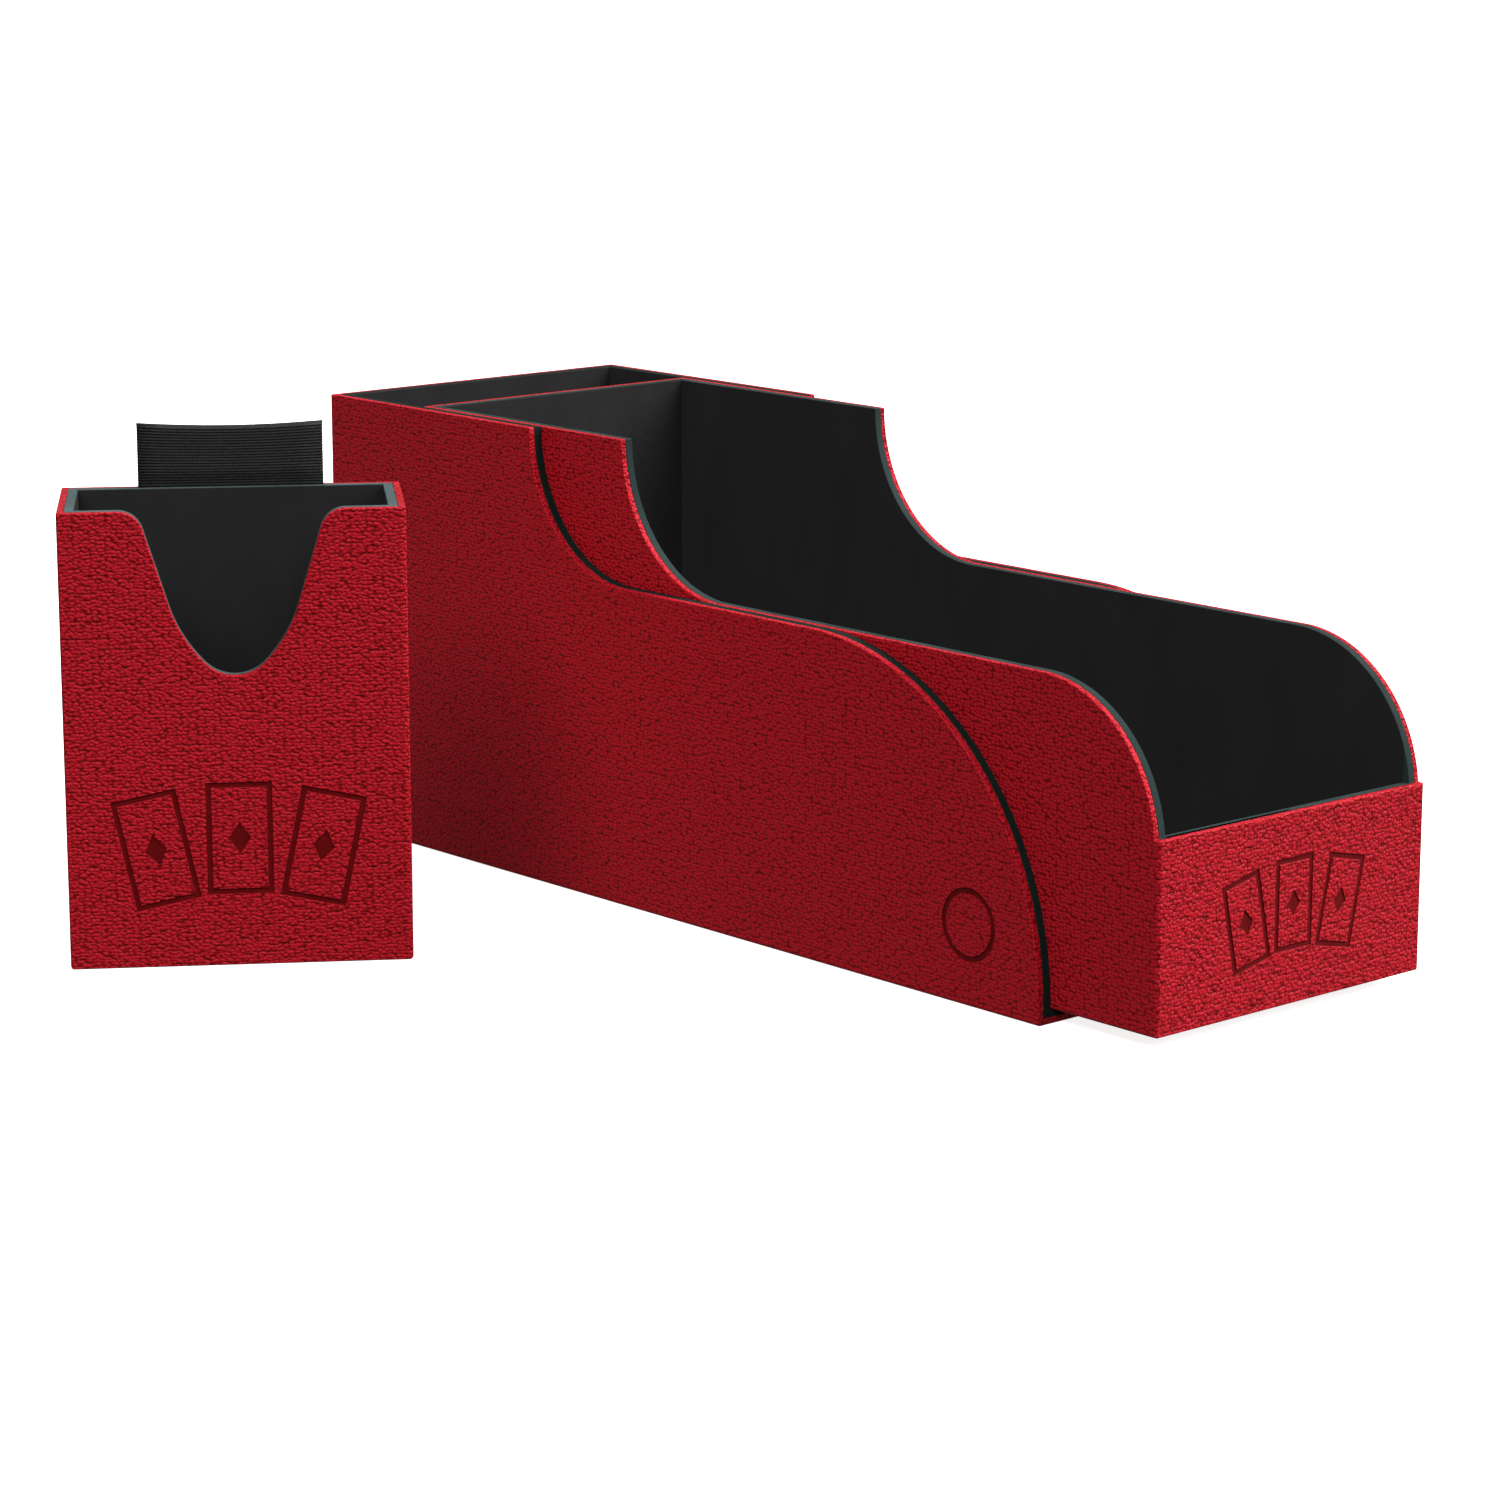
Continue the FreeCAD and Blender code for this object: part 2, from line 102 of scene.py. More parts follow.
def placed(name: str, data: bpy.types.ID) -> bpy.types.Object:
    """Return a new object that holds the data, in the scene and at the origin."""
    item = bpy.data.objects.new(name, data)
    bpy.context.scene.collection.objects.link(item)
    return item


def with_modifiers(item: bpy.types.Object) -> bpy.types.Mesh:
    """Apply a bench object's modifiers and remove the object.

    Args:
        item: The object.

    Returns:
        Its finished mesh.
    """
    view = bpy.context.evaluated_depsgraph_get()
    result = bpy.data.meshes.new_from_object(item.evaluated_get(view), depsgraph=view)
    bpy.data.objects.remove(item)
    return result


# ---- shader and geometry nodes


class Value:
    """A node's output socket that can be used in an expression."""

    def __init__(self, graph: "Graph", socket: bpy.types.NodeSocket) -> None:
        """Keep the socket and the tree it is in."""
        self.graph = graph
        self.socket = socket

    def _with(self, operation: str, first: "Value | float", second: "Value | float") -> "Value":
        """Return the result of a Math node."""
        return self.graph.node("ShaderNodeMath", {"operation": operation}, {0: first, 1: second})

    def __add__(self, other: "Value | float") -> "Value":
        """Return the sum."""
        return self._with("ADD", self, other)

    def __radd__(self, other: float) -> "Value":
        """Return the sum with a number on the left."""
        return self._with("ADD", other, self)

    def __sub__(self, other: "Value | float") -> "Value":
        """Return the difference."""
        return self._with("SUBTRACT", self, other)

    def __rsub__(self, other: float) -> "Value":
        """Return a number less this value."""
        return self._with("SUBTRACT", other, self)

    def __mul__(self, other: "Value | float") -> "Value":
        """Return the product."""
        return self._with("MULTIPLY", self, other)

    def __rmul__(self, other: float) -> "Value":
        """Return the product with a number on the left."""
        return self._with("MULTIPLY", other, self)

    def __truediv__(self, other: "Value | float") -> "Value":
        """Return the quotient."""
        return self._with("DIVIDE", self, other)

    def cosine(self) -> "Value":
        """Return the cosine of this value, in radians."""
        return self._with("COSINE", self, 0.0)

    def at_least(self, low: float) -> "Value":
        """Return this value, raised to a lowest one."""
        return self._with("MAXIMUM", self, low)


class Graph:
    """A node tree of any kind, written as expressions."""

    def __init__(self, tree: bpy.types.NodeTree) -> None:
        """Start on an existing tree."""
        self.tree = tree

    def node(self, kind: str, settings: dict[str, object], values: dict[int | str, object],
             output: int | str = 0) -> Value | None:
        """Add a node.

        Args:
            kind: The node's type.
            settings: Its properties, set before its sockets.
            values: What each input socket gets: a Value to link, or a constant.
            output: Which output to return.

        Returns:
            The chosen output of the node, or None for a node that has no outputs.
        """
        node = self.tree.nodes.new(kind)
        for name, setting in settings.items():
            setattr(node, name, setting)
        for key, value in values.items():
            if isinstance(value, Value):
                self.tree.links.new(value.socket, node.inputs[key])
            else:
                node.inputs[key].default_value = value
        return Value(self, node.outputs[output]) if node.outputs else None

    def mix(self, factor: Value | float, first: Value | Colour, second: Value | Colour) -> Value:
        """Blend two colours.

        Args:
            factor: How much of the second colour shows.
            first: The colour at 0.
            second: The colour at 1.

        Returns:
            The blended colour.
        """
        first = first if isinstance(first, Value) else (*first, 1.0)
        second = second if isinstance(second, Value) else (*second, 1.0)
        return self.node("ShaderNodeMix", {"data_type": "RGBA"}, {0: factor, 6: first, 7: second}, 2)

    def vector(self, operation: str, first: Value, second: Value | Colour | float) -> Value:
        """Return the vector of a Vector Math node. SCALE takes a number as its second."""
        socket = 3 if operation == "SCALE" else 1
        return self.node("ShaderNodeVectorMath", {"operation": operation}, {0: first, socket: second})

    def noise(self, place: Value, size: float, detail: float = 2.0, output: int | str = 0) -> Value:
        """Return a noise with blotches of a size, in the unit of place, and finer layers of detail."""
        values = {"Vector": place, "Scale": 1.0 / size, "Detail": detail}
        return self.node("ShaderNodeTexNoise", {}, values, output)

    def bump(self, height: Value, distance: float, strength: float = 1.0) -> Value:
        """Return the normal of a surface that a height of 1 raises by the distance, in metres."""
        return self.node("ShaderNodeBump", {}, {"Strength": strength, "Distance": distance, "Height": height})

    def smooth(self, value: Value, low: float, high: float) -> Value:
        """Return the value eased from 0 at low to 1 at high."""
        return self.node("ShaderNodeMapRange", {"interpolation_type": "SMOOTHSTEP"},
                         {"Value": value, "From Min": low, "From Max": high})


@dataclass(frozen=True)
class Finish:
    """A procedural material. Each kind of finish fills in its surface."""

    name: str

    def material(self) -> bpy.types.Material:
        """Make the material, or find it if it is made.

        Returns:
            The material.
        """
        made = bpy.data.materials.get(self.name)
        if made is None:
            made = bpy.data.materials.new(self.name)
            made.use_nodes = True
            made.node_tree.nodes.clear()
            graph = Graph(made.node_tree)
            place = graph.node("ShaderNodeTexCoord", {}, {}, "Object")
            shader = graph.node("ShaderNodeBsdfPrincipled", {}, self.surface(graph, place))
            graph.node("ShaderNodeOutputMaterial", {}, {"Surface": shader})
        return made

    def surface(self, graph: Graph, place: Value) -> dict[str, object]:
        """Fill in the shader.

        Args:
            graph: The material's tree.
            place: Object coordinates, in metres.

        Returns:
            What each socket gets.
        """
        raise NotImplementedError


@dataclass(frozen=True)
class GrainLeather(Finish):
    """Pebbled leather: rounded grains in uneven rows across the hide, with a painted highlight on the grain
    tops and painted shade between the grains.
    """

    # The first colour is a painted highlight on the grain tops; the second is painted shade between the
    # grains.
    crest_highlight: Colour
    crease_shade: Colour
    grain: float
    depth: float
    squash: tuple[float, float, float]
    sheen_tint: Colour = (1.0, 0.12, 0.17)
    waver: float = 0.7
    fullness: float = 1.6
    row_swell: float = 0.25
    pore_swell: float = 0.12
    blotch: float = 0.03

    def surface(self, graph: Graph, place: Value) -> dict[str, object]:
        """Fill in the shader.

        Args:
            graph: The material's tree.
            place: Object coordinates, in metres.

        Returns:
            What each socket gets.
        """
        drift = graph.noise(place, self.grain * 2.0, 1.0, "Color")
        sway = graph.vector("SUBTRACT", drift, (0.5, 0.5, 0.5))
        swayed = graph.vector("ADD", place, graph.vector("SCALE", sway, self.grain * self.waver))
        laid = graph.vector("MULTIPLY", swayed, self.squash)
        to_middle = graph.node("ShaderNodeTexVoronoi", {"feature": "SMOOTH_F1"},
                               {"Vector": laid, "Scale": 1.0 / self.grain, "Smoothness": 0.2,
                                "Randomness": 0.65})
        rows = graph.noise(graph.vector("MULTIPLY", laid, (1.0, 1.0, 1.4)), self.grain * 1.4, 1.0)
        pores = graph.noise(place, self.grain * 0.3, 2.0)
        dome = 1.0 - to_middle * to_middle * self.fullness
        height = dome + rows * self.row_swell + pores * self.pore_swell
        blotch = graph.noise(place, self.blotch, 3.0)
        # Base colour by the grain's height and pores: a painted highlight on the grain tops and painted shade
        # between the grains.
        shade = dome * 0.9 + pores * 0.2
        return {
            "Base Color": graph.mix(graph.smooth(shade, 0.0, 0.9), self.crease_shade, self.crest_highlight),
            "Roughness": 0.42 + blotch * 0.08,
            "Specular IOR Level": 0.5,
            "Specular Tint": (*self.sheen_tint, 1.0),
            "Normal": graph.bump(height, self.depth),
        }


@dataclass(frozen=True)
class SmoothLeather(Finish):
    """Leather whose grain is pressed flat by a stamp."""

    colour: Colour
    worn: Colour
    roughness: float
    crumple: float
    sheen_tint: Colour = (0.95, 0.14, 0.17)
    blotch: float = 0.004
    pore: float = 0.0006

    def surface(self, graph: Graph, place: Value) -> dict[str, object]:
        """Fill in the shader.

        Args:
            graph: The material's tree.
            place: Object coordinates, in metres.

        Returns:
            What each socket gets.
        """
        blotch = graph.noise(place, self.blotch, 3.0)
        pores = graph.noise(place, self.pore, 2.0)
        return {
            "Base Color": graph.mix(graph.smooth(blotch + pores * 0.4, 0.4, 1.0), self.colour, self.worn),
            "Roughness": self.roughness + blotch * 0.1,
            "Specular IOR Level": 0.4,
            "Specular Tint": (*self.sheen_tint, 1.0),
            "Normal": graph.bump(pores, self.crumple),
        }


@dataclass(frozen=True)
class Microfibre(Finish):
    """Short-napped lining cloth, with faint strokes where the nap lies differently."""

    nap: Colour
    brushed: Colour
    stroke: float = 0.012
    fibre: float = 0.00035
    fuzz: float = 0.0001

    def surface(self, graph: Graph, place: Value) -> dict[str, object]:
        """Fill in the shader.

        Args:
            graph: The material's tree.
            place: Object coordinates, in metres.

        Returns:
            What each socket gets.
        """
        strokes = graph.noise(graph.vector("MULTIPLY", place, (1.0, 1.0, 0.45)), self.stroke, 4.0)
        fibres = graph.noise(place, self.fibre, 2.0)
        blend = graph.smooth(strokes * 0.8 + fibres * 0.4, 0.35, 0.85)
        return {
            "Base Color": graph.mix(blend, self.nap, self.brushed),
            "Roughness": 0.9 + fibres * 0.1,
            "Specular IOR Level": 0.12,
            "Normal": graph.bump(fibres, self.fuzz, 0.6),
        }


@dataclass(frozen=True)
class RibbedTape(Finish):
    """Woven black tape, its yarns packed side by side over each rib."""

    yarn: Colour
    shine: Colour
    yarn_width: float = 0.00028
    relief: float = 0.00008

    def surface(self, graph: Graph, place: Value) -> dict[str, object]:
        """Fill in the shader.

        Args:
            graph: The material's tree.
            place: Object coordinates, in metres.

        Returns:
            What each socket gets.
        """
        yarns = graph.noise(graph.vector("MULTIPLY", place, (1.0, 1.0, 0.3)), self.yarn_width, 2.0)
        blend = graph.smooth(yarns, 0.35, 0.7)
        return {
            "Base Color": graph.mix(blend, self.yarn, self.shine),
            "Roughness": 0.62 + yarns * 0.2,
            "Specular IOR Level": 0.35,
            "Normal": graph.bump(yarns, self.relief, 0.7),
        }


@dataclass(frozen=True)
class PressedBoard(Finish):
    """Grey board pressed from paper, with darker flecks."""

    pulp: Colour
    fleck: Colour
    fleck_size: float = 0.0012
    relief: float = 0.0001

    def surface(self, graph: Graph, place: Value) -> dict[str, object]:
        """Fill in the shader.

        Args:
            graph: The material's tree.
            place: Object coordinates, in metres.

        Returns:
            What each socket gets.
        """
        flecks = graph.smooth(graph.noise(place, self.fleck_size, 4.0), 0.55, 0.7)
        return {
            "Base Color": graph.mix(flecks, self.pulp, self.fleck),
            "Roughness": 0.85 + flecks * 0.1,
            "Normal": graph.bump(flecks, self.relief, 0.4),
        }


@dataclass(frozen=True)
class PlatedSteel(Finish):
    """Plated disc magnet with fine turned marks."""

    colour: Colour
    mark: float = 0.001

    def surface(self, graph: Graph, place: Value) -> dict[str, object]:
        """Fill in the shader.

        Args:
            graph: The material's tree.
            place: Object coordinates, in metres.

        Returns:
            What each socket gets.
        """
        marks = graph.noise(graph.vector("MULTIPLY", place, (1.0, 6.0, 1.0)), self.mark, 3.0)
        darker = tuple(part * 0.8 for part in self.colour)
        return {
            "Base Color": graph.mix(marks, self.colour, darker),
            "Roughness": 0.25 + marks * 0.15,
            "Metallic": 1.0,
        }


# Both grain finishes paint light into their colours: the lighter colour is a painted highlight on the grain
# tops, the darker one painted shade between the grains.
BOX_GRAIN_AND_PAINTED_LIGHT = GrainLeather("box_grain_and_painted_light_leather", (0.51, 0.011, 0.022), (0.21, 0.004, 0.005), 0.00092, 0.00027,
                         (1.0, 0.85, 1.1))
TRAY_GRAIN_AND_PAINTED_LIGHT = GrainLeather("tray_grain_and_painted_light_leather", (0.48, 0.010, 0.020), (0.20, 0.004, 0.005), 0.00096, 0.00029,
                          (1.0, 1.0, 1.25))
STAMPED = SmoothLeather("stamped_leather", (0.11, 0.0025, 0.003), (0.15, 0.004, 0.005), 0.5, 0.00003)
LINING_NAP = Microfibre("lining_nap", (0.019, 0.019, 0.0195), (0.025, 0.025, 0.0255))
LINING_CUT = Microfibre("lining_cut_edge", (0.015, 0.028, 0.027), (0.030, 0.048, 0.046))
# A lighter copy of the lining's cut edge: a painted sheen on the tray's upward rims.
SHEEN_LIT_TRAY_CUT = Microfibre("sheen_lit_tray_cut_edge", (0.048, 0.070, 0.072), (0.075, 0.102, 0.105))
# A darker copy of the lining's cut edge: painted shade on the sleeve's front edge, which the inner box
# shades.
SHADED_SLEEVE_CUT = Microfibre("shaded_sleeve_cut_edge", (0.004, 0.012, 0.010), (0.009, 0.020, 0.017))
TAPE = RibbedTape("black_ribbed_tape", (0.003, 0.003, 0.003), (0.018, 0.018, 0.018))
GREY_BOARD = PressedBoard("grey_board", (0.42, 0.39, 0.35), (0.28, 0.26, 0.23))
MAGNET_STEEL = PlatedSteel("plated_magnet", (0.62, 0.62, 0.62))


# ---- the bench


class Outline:
    """A closed outline drawn edge by edge. Each edge remembers what its swept face shows."""

    def __init__(self, start: Point) -> None:
        """Put the pen down at a point."""
        self.points: list[Point] = [start]
        self.sides: list[Side] = []

    def line(self, end: Point, side: Side) -> "Outline":
        """Draw a straight edge to a point and return the outline."""
        self.points.append(end)
        self.sides.append(side)
        return self

    def arc(self, centre: Point, start: float, stop: float, steps: int, side: Side,
            radius: float) -> "Outline":
        """Draw an arc from where the pen is.

        Args:
            centre: The arc's centre.
            start: Its first angle, in degrees.
            stop: Its last angle, in degrees.
            steps: How many straight edges stand for it.
            side: What its swept faces show.
            radius: Its radius.

        Returns:
            The outline.
        """
        for step in range(1, steps + 1):
            angle = math.radians(start + (stop - start) * step / steps)
            self.line((centre[0] + radius * math.cos(angle), centre[1] + radius * math.sin(angle)), side)
        return self

    def close(self, side: Side) -> "Outline":
        """Draw the last edge back to the start and return the outline."""
        self.sides.append(side)
        return self

    @classmethod
    def through(cls, corners: Sequence[Point], side: Side) -> "Outline":
        """Draw a closed outline of straight edges.

        Args:
            corners: Its corners, in order.
            side: What all its swept faces show.

        Returns:
            The outline.
        """
        outline = cls(corners[0])
        for corner in corners[1:]:
            outline.line(corner, side)
        return outline.close(side)


class Solid:
    """A closed mesh in millimetres that is cut and bevelled on the bench."""

    def __init__(self, mesh: bpy.types.Mesh) -> None:
        """Take over a mesh."""
        self.mesh = mesh

    @classmethod
    def swept(cls, outline: Outline, axis: Axis, low: float, high: float, ends: Side = Side.FACE) -> "Solid":
        """Sweep an outline along an axis.

        Args:
            outline: The closed outline, as across and up.
            axis: The axis it is swept along.
            low: Where the sweep starts on the axis.
            high: Where it ends.
            ends: What the two flat ends show.

        Returns:
            The swept solid.
        """
        build = bmesh.new()
        rings = []
        for along in (low, high):
            spots = [(across, up, along) for across, up in outline.points]
            rings.append([build.verts.new([spot[place] for place in axis.value]) for spot in spots])
        count = len(outline.points)
        for index in range(count):
            after = (index + 1) % count
            face = build.faces.new((rings[0][index], rings[0][after], rings[1][after], rings[1][index]))
            face.material_index = outline.sides[index]
        for ring in rings:
            build.faces.new(ring).material_index = ends
        bmesh.ops.recalc_face_normals(build, faces=build.faces[:])
        return cls._from_bmesh(build)

    @classmethod
    def box(cls, x: Point, y: Point, z: Point, side: Side) -> "Solid":
        """Return a block from its lowest and highest x, y and z, whose faces all show the same."""
        corners = ((x[0], z[0]), (x[1], z[0]), (x[1], z[1]), (x[0], z[1]))
        return cls.swept(Outline.through(corners, side), Axis.Y, *y, ends=side)

    @classmethod
    def of_node(cls, node: bpy.types.Object, to_bench: Matrix) -> "Solid":
        """Copy a CAD node's shape onto the bench, to cut the space it fills.

        Args:
            node: The CAD node.
            to_bench: What brings the row frame, in metres, to the bench.

        Returns:
            The copy, with its loose triangles merged.
        """
        build = bmesh.new()
        build.from_mesh(node.data)
        build.transform(to_bench)
        bmesh.ops.remove_doubles(build, verts=build.verts[:], dist=NODE_MERGE)
        bmesh.ops.dissolve_limit(build, angle_limit=FLAT, verts=build.verts[:], edges=build.edges[:])
        for face in build.faces:
            face.material_index = Side.GLUED
        return cls._from_bmesh(build)

    @classmethod
    def _from_bmesh(cls, build: bmesh.types.BMesh) -> "Solid":
        """Write a bmesh to a new mesh and free it.

        Args:
            build: The bmesh.

        Returns:
            The solid.
        """
        mesh = bpy.data.meshes.new("bench")
        build.to_mesh(mesh)
        build.free()
        for _ in Side:
            mesh.materials.append(None)
        return cls(mesh)

    def _apply(self, item: bpy.types.Object) -> None:
        """Take over the mesh that a bench object's modifiers make of this one."""
        result = with_modifiers(item)
        bpy.data.meshes.remove(self.mesh)
        self.mesh = result

    def _cut_one(self, other: "Solid") -> None:
        """Cut another solid out of this one.

        Args:
            other: The solid to cut with, which is used up.
        """
        item, tool = placed("bench", self.mesh), placed("bench_tool", other.mesh)
        boolean = item.modifiers.new("cut", "BOOLEAN")
        boolean.operation = "DIFFERENCE"
        boolean.solver = "EXACT"
        boolean.object = tool
        self._apply(item)
        bpy.data.objects.remove(tool)
        bpy.data.meshes.remove(other.mesh)

    def cut(self, *others: "Solid") -> "Solid":
        """Cut the other solids out of this one, in order, and return it."""
        for other in others:
            self._cut_one(other)
        return self

    def rounded(self, radii: dict[frozenset[Side], float], segments: int = 3) -> "Solid":
        """Round the sharp edges between faces that show.

        Args:
            radii: The radius of an edge, by the two sides that meet there. Others stay sharp.
            segments: How many facets make a rounding.

        Returns:
            This solid.
        """
        widest = max(radii.values())
        build = bmesh.new()
        build.from_mesh(self.mesh)
        bmesh.ops.remove_doubles(build, verts=build.verts[:], dist=MERGE)
        bmesh.ops.dissolve_degenerate(build, dist=MERGE, edges=build.edges[:])
        weight = build.edges.layers.float.new("bevel_weight_edge")
        for face in build.faces:
            face.smooth = True
        for edge in build.edges:
            if len(edge.link_faces) != 2 or edge.calc_face_angle(0.0) < SHARP:
                continue
            edge.smooth = False
            pair = frozenset(Side(face.material_index) for face in edge.link_faces)
            edge[weight] = radii.get(pair, 0.0) / widest
        build.to_mesh(self.mesh)
        build.free()
        item = placed("bench", self.mesh)
        bevel = item.modifiers.new("round", "BEVEL")
        bevel.limit_method = "WEIGHT"
        bevel.width = widest
        bevel.segments = segments
        bevel.use_clamp_overlap = False
        bevel.harden_normals = True
        self._apply(item)
        return self

    def piece(self, name: str, finishes: dict[Side, Finish], to_row: Matrix) -> bpy.types.Object:
        """Make the finished piece.

        Args:
            name: The piece's name.
            finishes: The finish of each side.
            to_row: What brings the bench to the row frame, in metres.

        Returns:
            The piece's object, at the origin.
        """
        self.mesh.transform(to_row)
        self.mesh.name = name
        for side in Side:
            self.mesh.materials[side] = finishes.get(side, finishes[Side.FACE]).material()
        return placed(name, self.mesh)


def hand_over(item: bpy.types.Object, body: str, nodes: Sequence[str]) -> None:
    """Give a piece its body, hide the CAD nodes it stands for, and report it.

    Args:
        item: The finished piece.
        body: The CAD body it rides on.
        nodes: The CAD nodes it stands for.
    """
    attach(item, body)
    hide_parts(*nodes)
    log.info("%s: %d faces, for %d nodes of %s", item.name, len(item.data.polygons), len(nodes), body)


# ---- marks pressed in the leather


@dataclass(frozen=True)
class PressedRing:
    """A narrow ring pressed into both long sides, over the closing magnets."""

    along: float = -87.45
    up: float = 17.9
    outer: float = 8.0
    line: float = 1.15
    depth: float = 0.25
    steps: int = 96

    def cutter(self, face: float) -> Solid:
        """Return what cuts the ring.

        Args:
            face: The x of the leather's outer face.

        Returns:
            The cutting solid.
        """
        sign = math.copysign(1.0, face)
        inside, outside = sorted((face - sign * self.depth, face + sign * FAR))
        discs = []
        for radius in (self.outer, self.outer - self.line):
            circle = Outline((self.along + radius, self.up))
            circle.arc((self.along, self.up), 0.0, 360.0, self.steps, Side.PRESSED, radius)
            circle.points.pop()
            margin = PAST if radius < self.outer else 0.0
            discs.append(Solid.swept(circle, Axis.X, inside - margin, outside + margin, Side.PRESSED))
        return discs[0].cut(discs[1])


@dataclass(frozen=True)
class PressedCards:
    """Three spread playing cards with a pip each, pressed as narrow lines."""

    up: float
    scale: float = 1.0
    width: float = 11.5
    height: float = 20.0
    pitch: float = 14.6
    tilt: float = 12.0
    drop: float = 1.8
    line: float = 1.15
    pip_width: float = 3.8
    pip_height: float = 5.6
    depth: float = 0.25

    def _shape(self, corners: Sequence[Point], place: int) -> Outline:
        """Put an outline on one card of the row.

        Args:
            corners: The outline's corners, from the card's middle.
            place: Which card: -1, 0 or 1.

        Returns:
            The outline on the panel.
        """
        angle = math.radians(-place * self.tilt)
        middle = (self.pitch * self.scale * place, self.up - self.drop * self.scale * abs(place))
        spots = [(middle[0] + x * math.cos(angle) - z * math.sin(angle),
                  middle[1] + x * math.sin(angle) + z * math.cos(angle)) for x, z in corners]
        return Outline.through(spots, Side.PRESSED)

    def cutters(self, face: float) -> list[Solid]:
        """Return what cuts the marks.

        Args:
            face: The y of the leather's outer face, which looks towards -Y.

        Returns:
            The cutting solids.
        """
        half_width, half_height = self.width * self.scale / 2, self.height * self.scale / 2
        pip_x, pip_z = self.pip_width * self.scale / 2, self.pip_height * self.scale / 2
        cutters = []
        for place in (-1, 0, 1):
            frames = []
            for inset, margin in ((0.0, 0.0), (self.line, PAST)):
                x, z = half_width - inset, half_height - inset
                card = self._shape(((-x, -z), (x, -z), (x, z), (-x, z)), place)
                frames.append(Solid.swept(card, Axis.Y, face - PAST - margin, face + self.depth + margin,
                                          Side.PRESSED))
            cutters.append(frames[0].cut(frames[1]))
            pip = self._shape(((0.0, -pip_z), (pip_x, 0.0), (0.0, pip_z), (-pip_x, 0.0)), place)
            cutters.append(Solid.swept(pip, Axis.Y, face - PAST, face + self.depth, Side.PRESSED))
        return cutters


# ---- the long box


@dataclass(frozen=True)
class SteppedWall:
    """The outline of a long side: a tall rear, a hollow sweep down, a low run and a rounded nose."""

    start: float
    stop: float
    bottom: float
    shoulder: float
    nose: float
    rim: float = 108.2
    low: float = 74.6
    sweep_steps: int = 36
    nose_steps: int = 44

    def outline(self, front: float | None = None, front_top: float = 0.0,
                bottom: Side = Side.FACE) -> Outline:
        """Draw the outline, as y and z.

        Args:
            front: The y of a lower front panel that continues the wall, if it has one.
            front_top: The height of that panel's top edge.
            bottom: What the bottom, rear and front panel faces show.

        Returns:
            The outline.
        """
        sweep = self.rim - self.low
        first = self.start if front is None else front
        drawn = Outline((first, self.bottom)).line((self.stop, self.bottom), bottom)
        drawn.line((self.stop, self.rim), bottom).line((self.shoulder, self.rim), Side.EDGE)
        drawn.arc((self.shoulder - sweep, self.rim), 0.0, -90.0, self.sweep_steps, Side.EDGE, sweep)
        drawn.line((self.start + self.nose, self.low), Side.EDGE)
        centre = (self.start + self.nose, self.low - self.nose)
        if front is None:
            drawn.arc(centre, 90.0, 180.0, self.nose_steps, Side.EDGE, self.nose)
            return drawn.close(Side.EDGE)
        rise = math.degrees(math.asin((front_top - centre[1]) / self.nose))
        drawn.arc(centre, 90.0, 180.0 - rise, self.nose_steps, Side.EDGE, self.nose)
        return drawn.line((front, front_top), Side.EDGE).close(bottom)


WRAP_RADII = {
    frozenset((Side.FACE,)): 0.8,
    frozenset((Side.FACE, Side.EDGE)): 0.35,
    frozenset((Side.EDGE,)): 0.5,
    frozenset((Side.EDGE, Side.GLUED)): 0.2,
    frozenset((Side.FACE, Side.PRESSED)): 0.12,
    frozenset((Side.PRESSED,)): 0.08,
}
LINING_RADII = {
    frozenset((Side.FACE, Side.EDGE)): 0.22,
    frozenset((Side.EDGE, Side.GLUED)): 0.16,
    frozenset((Side.EDGE,)): 0.2,
}


@dataclass
class Shell:
    """A set of glued walls: boards in one leather wrap, with one lining inside."""

    name: str
    body: str
    walls: tuple[str, ...]
    grain: GrainLeather
    to_row: Matrix = field(default_factory=lambda: TO_METRES.copy())
    cut_edge: Microfibre = LINING_CUT

    def nodes(self, kind: str) -> list[str]:
        """Return the names of the shell's CAD nodes of one kind."""
        return [f"{self.name}_{wall}_{kind}" for wall in self.walls]

    def wrap_shape(self) -> Solid:
        """Return the leather's outer shape, open inside."""
        raise NotImplementedError

    def lining_shape(self) -> Solid:
        """Return the lining's shape."""
        raise NotImplementedError

    def build(self, frame: dict[str, dict]) -> None:
        """Make the shell's wrap and lining, and dress its boards.

        Args:
            frame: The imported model.
        """
        to_bench = self.to_row.inverted()
        boards = [frame["nodes"][node] for node in self.nodes("board")]
        wrap = self.wrap_shape()
        wrap.cut(*(Solid.of_node(board, to_bench) for board in boards))
        leather = {Side.FACE: self.grain, Side.PRESSED: STAMPED}
        item = wrap.rounded(WRAP_RADII).piece(f"{self.name}_wrap", leather, self.to_row)
        hand_over(item, self.body, self.nodes("leather"))
        cloth = {Side.FACE: LINING_NAP, Side.EDGE: self.cut_edge}
        item = self.lining_shape().rounded(LINING_RADII).piece(f"{self.name}_cloth", cloth, self.to_row)
        hand_over(item, self.body, self.nodes("lining"))
        for board in boards:
            dress(board, GREY_BOARD)


